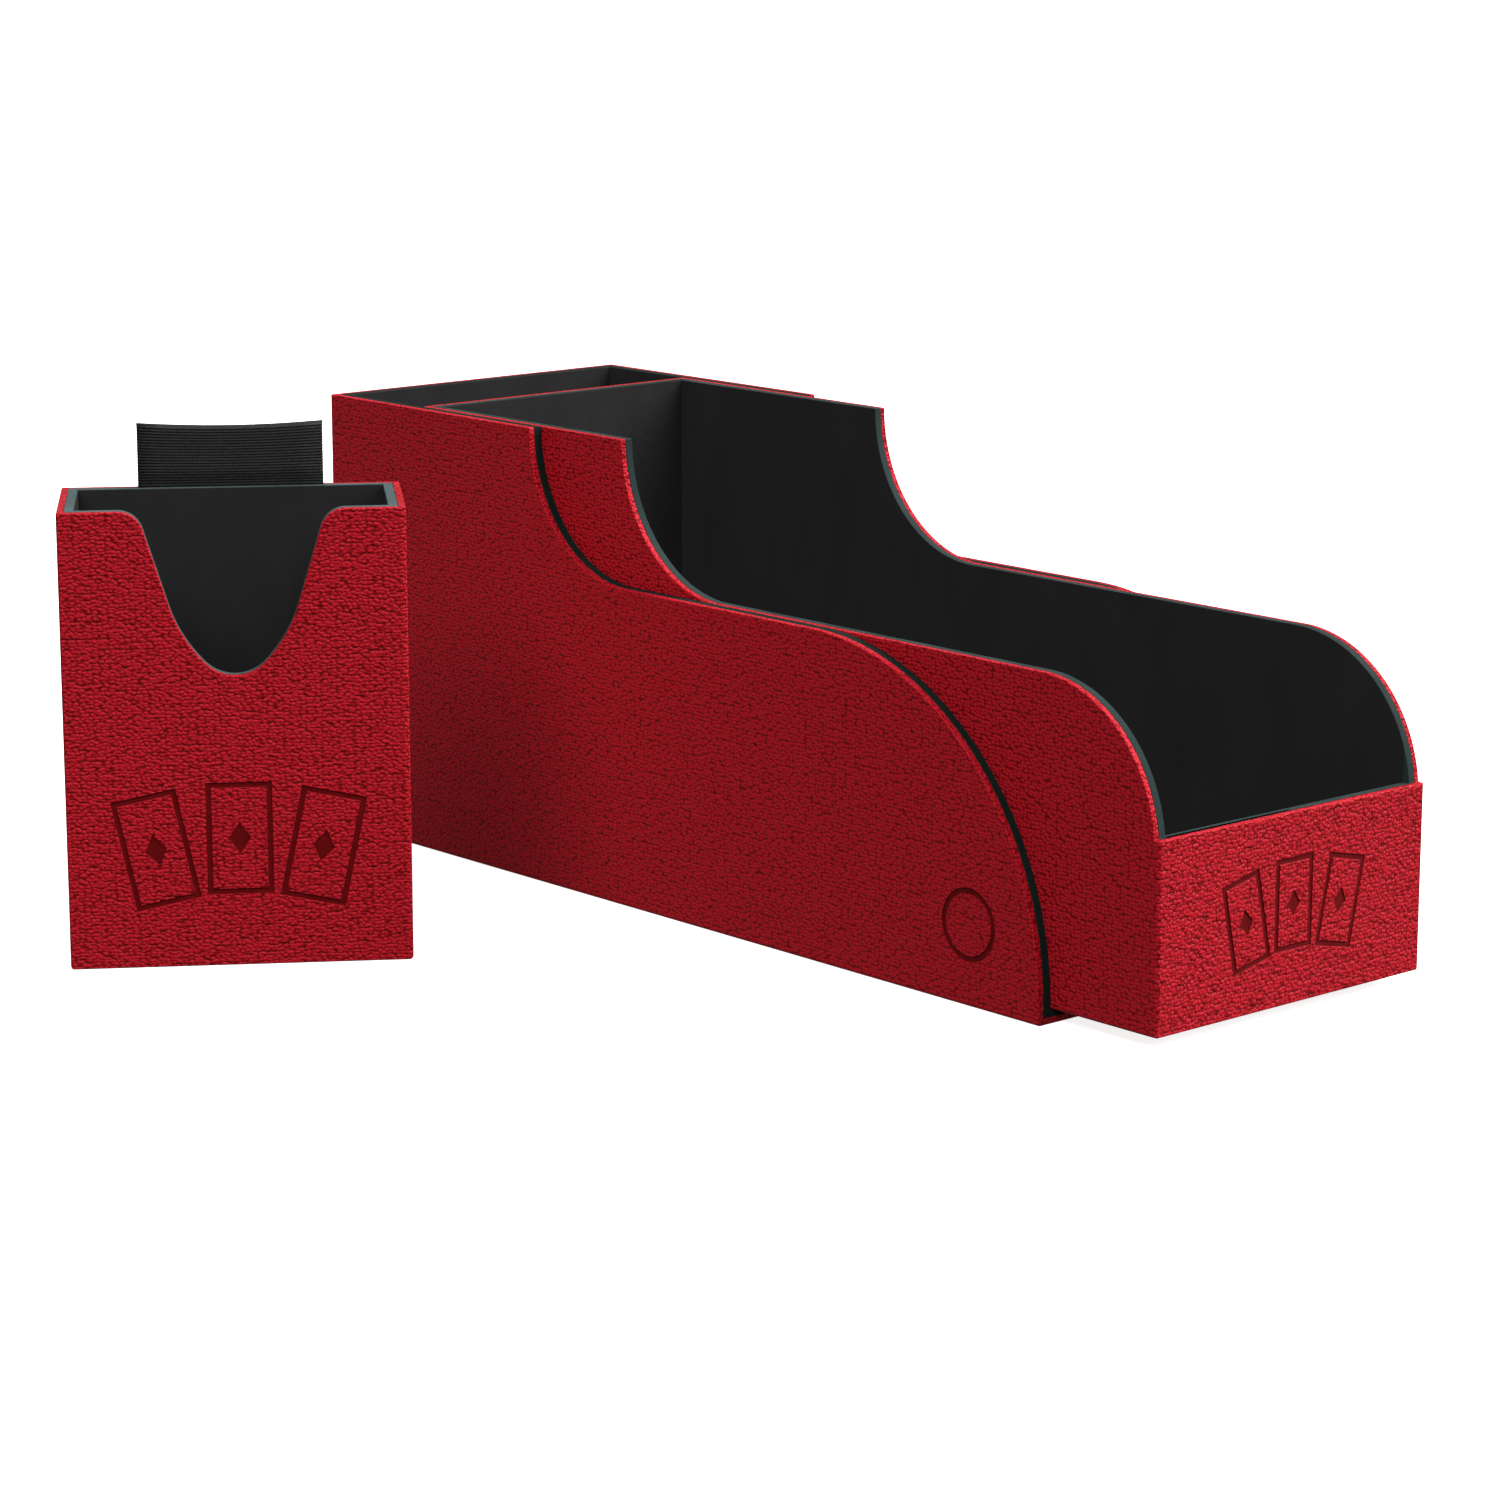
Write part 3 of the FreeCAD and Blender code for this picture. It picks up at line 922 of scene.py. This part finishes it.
@dataclass
class Jacket(Shell):
    """The outer sleeve of the long box, open in front."""

    name: str = "jacket"
    body: str = "long_box"
    walls: tuple[str, ...] = ("left", "right", "back", "floor")
    grain: GrainLeather = BOX_GRAIN_AND_PAINTED_LIGHT
    half_width: float = 44.85
    start: float = -108.65
    stop: float = 138.85
    panel: float = 1.6
    lining: float = 2.1
    floor_lining: float = 1.5
    shoulder: float = 60.25
    nose: float = 71.0
    # The sleeve's cut edge is darkened with painted shade.
    cut_edge: Microfibre = SHADED_SLEEVE_CUT
    ring: PressedRing = PressedRing()

    def wrap_shape(self) -> Solid:
        """Shape the leather.

        Returns:
            Its outer shape, open inside.
        """
        wall = SteppedWall(self.start, self.stop, 0.0, self.shoulder, self.nose)
        inside = self.half_width - self.panel
        hollow = Solid.box((-inside, inside), (-FAR, self.stop - self.panel), (self.panel, FAR), Side.GLUED)
        shape = Solid.swept(wall.outline(), Axis.X, -self.half_width, self.half_width)
        return shape.cut(hollow, self.ring.cutter(-self.half_width), self.ring.cutter(self.half_width))

    def lining_shape(self) -> Solid:
        """Shape the lining.

        Returns:
            Its shape.
        """
        wall = SteppedWall(self.start, self.stop - self.panel, self.panel, self.shoulder, self.nose)
        outside = self.half_width - self.panel
        inside = outside - self.lining
        back = self.stop - self.panel - self.lining
        hollow = Solid.box((-inside, inside), (-FAR, back), (self.panel + self.floor_lining, FAR), Side.FACE)
        return Solid.swept(wall.outline(bottom=Side.GLUED), Axis.X, -outside, outside, Side.GLUED).cut(hollow)


@dataclass
class InnerBox(Shell):
    """The box glued in the jacket, with a low front panel and a wall before the rear well."""

    name: str = "inner"
    body: str = "long_box"
    walls: tuple[str, ...] = ("left", "right", "front", "back", "floor")
    grain: GrainLeather = BOX_GRAIN_AND_PAINTED_LIGHT
    half_width: float = 41.15
    front: float = -138.85
    stop: float = 106.05
    bottom: float = 3.1
    panel: float = 1.4
    lining: float = 1.9
    shoulder: float = 31.15
    nose: float = 33.5
    front_top: float = 44.7
    cards: PressedCards = PressedCards(up=25.0)

    def wrap_shape(self) -> Solid:
        """Shape the leather.

        Returns:
            Its outer shape, open inside.
        """
        wall = SteppedWall(self.front + self.panel, self.stop, self.bottom, self.shoulder, self.nose)
        inside = self.half_width - self.panel
        hollow = Solid.box((-inside, inside), (self.front + self.panel, self.stop - self.panel),
                           (self.bottom + self.panel, FAR), Side.GLUED)
        outline = wall.outline(self.front, self.front_top)
        shape = Solid.swept(outline, Axis.X, -self.half_width, self.half_width)
        return shape.cut(hollow, *self.cards.cutters(self.front))

    def lining_shape(self) -> Solid:
        """Shape the lining.

        Returns:
            Its shape.
        """
        start, stop = self.front + self.panel, self.stop - self.panel
        bottom = self.bottom + self.panel
        outside = self.half_width - self.panel
        inside = outside - self.lining
        wall = SteppedWall(start, stop, bottom, self.shoulder, self.nose)
        outline = wall.outline(start, self.front_top, Side.GLUED)
        shape = Solid.swept(outline, Axis.X, -outside, outside, Side.GLUED)
        over_front = Solid.box((-inside, inside), (-FAR, start + self.lining), (self.front_top, FAR),
                               Side.EDGE)
        hollow = Solid.box((-inside, inside), (start + self.lining, stop - self.lining),
                           (bottom + self.lining, FAR), Side.FACE)
        return shape.cut(hollow, over_front)


# ---- the card tray


@dataclass(frozen=True)
class ThumbNotch:
    """The notch in the tray's front: a round tip, hollow sides and rounded shoulders."""

    depth: float = 36.3
    tip_radius: float = 8.9
    tip_angle: float = 46.0
    side_radius: float = 32.0
    side_angle: float = 73.0
    shoulder_radius: float = 5.7
    tip_steps: int = 12
    side_steps: int = 12
    shoulder_steps: int = 14

    def cutter(self, top: float, low: float, high: float) -> Solid:
        """Return what cuts the notch.

        Args:
            top: The height of the tray's rim.
            low: Where the cut starts across the wall.
            high: Where it ends.

        Returns:
            The cutting solid.
        """
        tip, side = math.radians(self.tip_angle), math.radians(self.side_angle)
        bottom = top - self.depth
        tip_x = self.tip_radius * math.sin(tip)
        tip_z = bottom + self.tip_radius * (1.0 - math.cos(tip))
        side_x = tip_x + self.side_radius * (math.sin(side) - math.sin(tip))
        side_z = tip_z + self.side_radius * (math.cos(tip) - math.cos(side))
        slope_z = top - self.shoulder_radius * (1.0 - math.cos(side))
        slope_x = side_x + (slope_z - side_z) * math.cos(side) / math.sin(side)
        shoulder_x = slope_x + self.shoulder_radius * math.sin(side)
        side_centre = (tip_x - self.side_radius * math.sin(tip), tip_z + self.side_radius * math.cos(tip))
        half = Outline((0.0, bottom))
        half.arc((0.0, bottom + self.tip_radius), 270.0, 270.0 + self.tip_angle, self.tip_steps, Side.EDGE,
                 self.tip_radius)
        half.arc(side_centre, 270.0 + self.tip_angle, 270.0 + self.side_angle, self.side_steps, Side.EDGE,
                 self.side_radius)
        half.line((slope_x, slope_z), Side.EDGE)
        half.arc((shoulder_x, top - self.shoulder_radius), 90.0 + self.side_angle, 90.0, self.shoulder_steps,
                 Side.EDGE, self.shoulder_radius)
        mirrored = [(-across, up) for across, up in reversed(half.points[1:])]
        above = [(shoulder_x, top + FAR), (-shoulder_x, top + FAR)]
        drawn = Outline.through(mirrored + half.points + above, Side.EDGE)
        return Solid.swept(drawn, Axis.Y, low, high, Side.GLUED)


def tray_place() -> Matrix:
    """Return what brings the tray's own bench frame to the row frame, in metres."""
    turn = Euler((0.0, 0.0, TRAY_TURN)).to_matrix().to_4x4()
    return TO_METRES @ Matrix.Translation(TRAY_SPOT) @ turn


@dataclass
class Tray(Shell):
    """The loose card tray, with its thumb notch in front."""

    name: str = "tray"
    body: str = "card_tray"
    walls: tuple[str, ...] = ("front", "back", "left", "right", "floor")
    grain: GrainLeather = TRAY_GRAIN_AND_PAINTED_LIGHT
    to_row: Matrix = field(default_factory=tray_place)
    # The tray's cut edge is lightened with a painted sheen.
    cut_edge: Microfibre = SHEEN_LIT_TRAY_CUT
    half_width: float = 37.5
    depth: float = 37.1
    height: float = 101.2
    panel: float = 1.6
    lining: float = 2.2
    tail_half: float = 20.6
    tail_depth: float = 1.2
    tail_bottom: float = 86.1
    notch: ThumbNotch = ThumbNotch()
    cards: PressedCards = PressedCards(up=28.7, scale=1.25)

    def wrap_shape(self) -> Solid:
        """Shape the leather.

        Returns:
            Its outer shape, open inside.
        """
        outer = Outline((-self.half_width, 0.0)).line((self.half_width, 0.0), Side.FACE)
        outer.line((self.half_width, self.height), Side.FACE).line((-self.half_width, self.height), Side.EDGE)
        shape = Solid.swept(outer.close(Side.FACE), Axis.Y, 0.0, self.depth)
        inside = self.half_width - self.panel
        hollow = Solid.box((-inside, inside), (self.panel, self.depth - self.panel), (self.panel, FAR),
                           Side.GLUED)
        notch = self.notch.cutter(self.height, -FAR, self.panel * 2)
        return shape.cut(hollow, notch, *self.cards.cutters(0.0))

    def lining_shape(self) -> Solid:
        """Shape the lining.

        Returns:
            Its shape.
        """
        outside = self.half_width - self.panel
        inside = outside - self.lining
        back = self.depth - self.panel
        outer = Outline((-outside, self.panel)).line((outside, self.panel), Side.GLUED)
        outer.line((outside, self.height), Side.GLUED).line((-outside, self.height), Side.EDGE)
        shape = Solid.swept(outer.close(Side.GLUED), Axis.Y, self.panel, back, Side.GLUED)
        wall = self.panel + self.lining
        hollow = Solid.box((-inside, inside), (wall, self.depth - wall), (wall, FAR), Side.FACE)
        recess = Solid.box((-self.tail_half, self.tail_half), (back - self.tail_depth, FAR),
                           (self.tail_bottom, FAR), Side.GLUED)
        return shape.cut(hollow, self.notch.cutter(self.height, -FAR, wall * 2), recess)


@dataclass
class PullRibbon:
    """The ribbed tape folded to a loop, its two tails glued behind the tray's back lining."""

    width: float = 41.0
    thickness: float = 0.34
    rib_height: float = 0.075
    rib_pitch: float = 0.66
    rib_facets: int = 6
    rim: float = 101.2
    rise: float = 14.5
    dip: float = 0.8
    tail_bottom: float = 86.5
    middle: float = 34.9
    tail_gap: float = 0.29
    loop_gap: float = 0.86
    spread_end: float = 105.5
    tuck: float = 0.5
    spread_steps: int = 12
    crown_steps: int = 16
    section_cuts: int = 7

    def path(self) -> list[Vector]:
        """Find the middle of the folded tape.

        Returns:
            Points along it, tail to tail.
        """
        top = self.rim + self.rise - self.loop_gap - self.thickness / 2 - self.rib_height
        half = [(self.tail_gap, self.tail_bottom), (self.tail_gap, self.rim - self.tuck)]
        for step in range(1, self.spread_steps + 1):
            blend = step / self.spread_steps
            ease = (1.0 - math.cos(math.pi * blend)) / 2
            half.append((self.tail_gap + (self.loop_gap - self.tail_gap) * ease,
                         self.rim - self.tuck + (self.spread_end - self.rim + self.tuck) * blend))
        half.append((self.loop_gap, top))
        angles = [math.pi * step / self.crown_steps for step in range(1, self.crown_steps)]
        crown = [(self.loop_gap * math.cos(angle), top + self.loop_gap * math.sin(angle)) for angle in angles]
        there = [(self.middle - offset, up) for offset, up in half]
        over = [(self.middle - offset, up) for offset, up in crown]
        back = [(self.middle + offset, up) for offset, up in reversed(half)]
        return [Vector((0.0, along, up)) for along, up in there + over + back]

    def length(self) -> float:
        """Return the length the tape was cut to."""
        path = self.path()
        return sum((after - before).length for before, after in zip(path, path[1:]))

    def sizes(self) -> dict[str, float]:
        """Return the sizes that the nodes take, by the names of their inputs."""
        return {"Width": self.width, "Thickness": self.thickness, "Rib Pitch": self.rib_pitch,
                "Rib Height": self.rib_height, "Facet": self.rib_pitch / self.rib_facets,
                "Rim": self.rim, "Rise": self.rise, "Dip": self.dip}

    def tree(self) -> tuple[bpy.types.NodeTree, dict[str, str]]:
        """Build the nodes that sweep the tape along its path and raise its ribs.

        Returns:
            The tree, and each named input's socket identifier.
        """
        tree = bpy.data.node_groups.new("ribbed_tape", "GeometryNodeTree")
        kinds = {"Path": "NodeSocketGeometry", **dict.fromkeys(self.sizes(), "NodeSocketFloat"),
                 "Finish": "NodeSocketMaterial"}
        inputs = {name: tree.interface.new_socket(name, in_out="INPUT", socket_type=kind).identifier
                  for name, kind in kinds.items()}
        tree.interface.new_socket("Tape", in_out="OUTPUT", socket_type="NodeSocketGeometry")
        graph = Graph(tree)
        given = {name: graph.node("NodeGroupInput", {}, {}, name) for name in kinds}
        line = graph.node("GeometryNodeMeshToCurve", {}, {"Mesh": given["Path"]})
        line = graph.node("GeometryNodeResampleCurve", {"mode": "LENGTH"},
                          {"Curve": line, "Length": given["Facet"]})
        along = graph.node("GeometryNodeSplineParameter", {}, {}, "Length")
        line = graph.node("GeometryNodeStoreNamedAttribute", {"data_type": "FLOAT", "domain": "POINT"},
                          {"Geometry": line, "Name": "along", "Value": along})
        section = graph.node("GeometryNodeCurvePrimitiveQuadrilateral", {},
                             {"Width": given["Width"], "Height": given["Thickness"]})
        section = graph.node("GeometryNodeSubdivideCurve", {}, {"Curve": section, "Cuts": self.section_cuts})
        tape = graph.node("GeometryNodeCurveToMesh", {},
                          {"Curve": line, "Profile Curve": section, "Fill Caps": True})
        along = graph.node("GeometryNodeInputNamedAttribute", {"data_type": "FLOAT"}, {"Name": "along"},
                           "Attribute")
        turn = along / given["Rib Pitch"] * (2.0 * math.pi)
        outward = graph.node("GeometryNodeInputNormal", {}, {})
        swell = graph.vector("SCALE", outward, turn.cosine() * given["Rib Height"])
        tape = graph.node("GeometryNodeSetPosition", {}, {"Geometry": tape, "Offset": swell})
        spot = graph.node("GeometryNodeInputPosition", {}, {})
        across, up = (graph.node("ShaderNodeSeparateXYZ", {}, {0: spot}, axis) for axis in ("X", "Z"))
        share = across / given["Width"] * 2.0
        raised = ((up - given["Rim"]) / given["Rise"]).at_least(0.0)
        sag = -1.0 * ((1.0 - share * share) * raised * given["Dip"])
        drop = graph.node("ShaderNodeCombineXYZ", {}, {"Z": sag})
        tape = graph.node("GeometryNodeSetPosition", {}, {"Geometry": tape, "Offset": drop})
        for kind in ("GeometryNodeSetShadeSmooth", "GeometryNodeRealizeInstances"):
            tape = graph.node(kind, {}, {"Geometry": tape})
        tape = graph.node("GeometryNodeSetMaterial", {}, {"Geometry": tape, "Material": given["Finish"]})
        graph.node("NodeGroupOutput", {}, {0: tape})
        return tree, inputs

    def build(self) -> None:
        """Make the ribbon."""
        path = self.path()
        line = bpy.data.meshes.new("ribbon_path")
        line.from_pydata(path, [(index, index + 1) for index in range(len(path) - 1)], [])
        bench = placed("ribbon_path", line)
        tree, inputs = self.tree()
        maker = bench.modifiers.new("tape", "NODES")
        maker.node_group = tree
        for name, value in {**self.sizes(), "Finish": TAPE.material()}.items():
            maker[inputs[name]] = value
        mesh = with_modifiers(bench)
        mesh.transform(tray_place())
        mesh.name = "pull_loop"
        item = placed("pull_loop", mesh)
        hand_over(item, "card_tray", ["pull_ribbon"])
        self.width / 1000.0
        self.length() / 1000.0


def dress(node: bpy.types.Object, finish: Finish) -> None:
    """Give a CAD node the material of its finish."""
    node.data.materials.clear()
    node.data.materials.append(finish.material())


# ---- the studio


@dataclass(frozen=True)
class SoftLight:
    """A wide, soft, distant light. Heading 0 comes from -Y and 90 from +X. With shine it gives highlights."""

    name: str
    heading: float
    height: float
    strength: float
    spread: float
    shine: bool = True

    def build(self) -> None:
        """Hang the light."""
        lamp = bpy.data.lights.new(self.name, "SUN")
        lamp.energy = self.strength
        lamp.angle = math.radians(self.spread)
        item = placed(self.name, lamp)
        item.visible_glossy = self.shine
        item.rotation_euler = Euler((math.radians(90.0 - self.height), 0.0, math.radians(self.heading)))


@dataclass(frozen=True)
class FloorPaint(Finish):
    """Pale matt floor, lit a little from below like a light table."""

    name: str = "floor_paint"
    colour: Colour = (0.90, 0.90, 0.90)
    shade: Colour = (0.88, 0.88, 0.88)
    glow: float = 0.85

    def surface(self, graph: Graph, place: Value) -> dict[str, object]:
        """Fill in the shader.

        Args:
            graph: The material's tree.
            place: Object coordinates, in metres.

        Returns:
            What each socket gets.
        """
        return {
            "Base Color": graph.mix(graph.noise(place, 0.4), self.colour, self.shade),
            "Roughness": 0.9,
            "Specular IOR Level": 0.1,
            "Emission Color": (1.0, 1.0, 1.0, 1.0),
            "Emission Strength": self.glow,
        }


@dataclass(frozen=True)
class Studio:
    """The pale floor, the soft lights and the camera."""

    camera_place: tuple[float, float, float] = (-0.66216, -0.71970, 0.24835)
    camera_heading: float = 48.68
    camera_dip: float = 12.309
    lens: float = 103.36
    sensor: float = 36.0
    sight: float = 100.0
    floor_reach: float = 30.0
    sky: float = 0.12
    lights: tuple[SoftLight, ...] = (
        SoftLight("right_box", 48.0, 45.0, 5.0, 60.0),
        SoftLight("left_box", -62.0, 50.0, 1.95, 35.0),
        SoftLight("rear_box", 150.0, 35.0, 1.3, 50.0, shine=False),
    )

    def build(self) -> None:
        """Set the studio up."""
        self._floor()
        scene = bpy.context.scene
        world = bpy.data.worlds.new("studio_sky")
        world.use_nodes = True
        light_of_sky = world.node_tree.nodes["Background"].inputs
        light_of_sky["Color"].default_value = (1.0, 1.0, 1.0, 1.0)
        light_of_sky["Strength"].default_value = self.sky
        scene.world = world
        for light in self.lights:
            light.build()
        self._camera()
        scene.view_settings.view_transform = "Standard"

    def _floor(self) -> None:
        """Lay the floor. Its glow and bounce stay off the leather."""
        reach = self.floor_reach
        mesh = bpy.data.meshes.new("studio_floor")
        corners = [(-reach, -reach, 0.0), (reach, -reach, 0.0), (reach, reach, 0.0), (-reach, reach, 0.0)]
        mesh.from_pydata(corners, [], [(0, 1, 2, 3)])
        mesh.materials.append(FloorPaint().material())
        floor = placed("studio_floor", mesh)
        floor.visible_diffuse = False
        floor.visible_glossy = False

    def _camera(self) -> None:
        """Set the camera up."""
        heading, dip = math.radians(self.camera_heading), math.radians(self.camera_dip)
        level = math.cos(dip)
        forward = Vector((math.cos(heading) * level, math.sin(heading) * level, -math.sin(dip)))
        camera = bpy.data.cameras.new("camera")
        camera.sensor_width = self.sensor
        camera.lens = self.lens
        camera.clip_end = self.sight
        item = placed("camera", camera)
        item.location = self.camera_place
        item.rotation_euler = forward.to_track_quat("-Z", "Y").to_euler()
        bpy.context.scene.camera = item


def main() -> None:
    """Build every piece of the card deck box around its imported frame."""
    logging.basicConfig(level=logging.INFO, format="%(name)s: %(message)s")
    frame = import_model()
    for shell in (Jacket(), InnerBox(), Tray()):
        shell.build(frame)
    PullRibbon().build()
    dress(frame["nodes"]["closure_magnets"], MAGNET_STEEL)
    Studio().build()


if __name__ == "__main__":
    main()
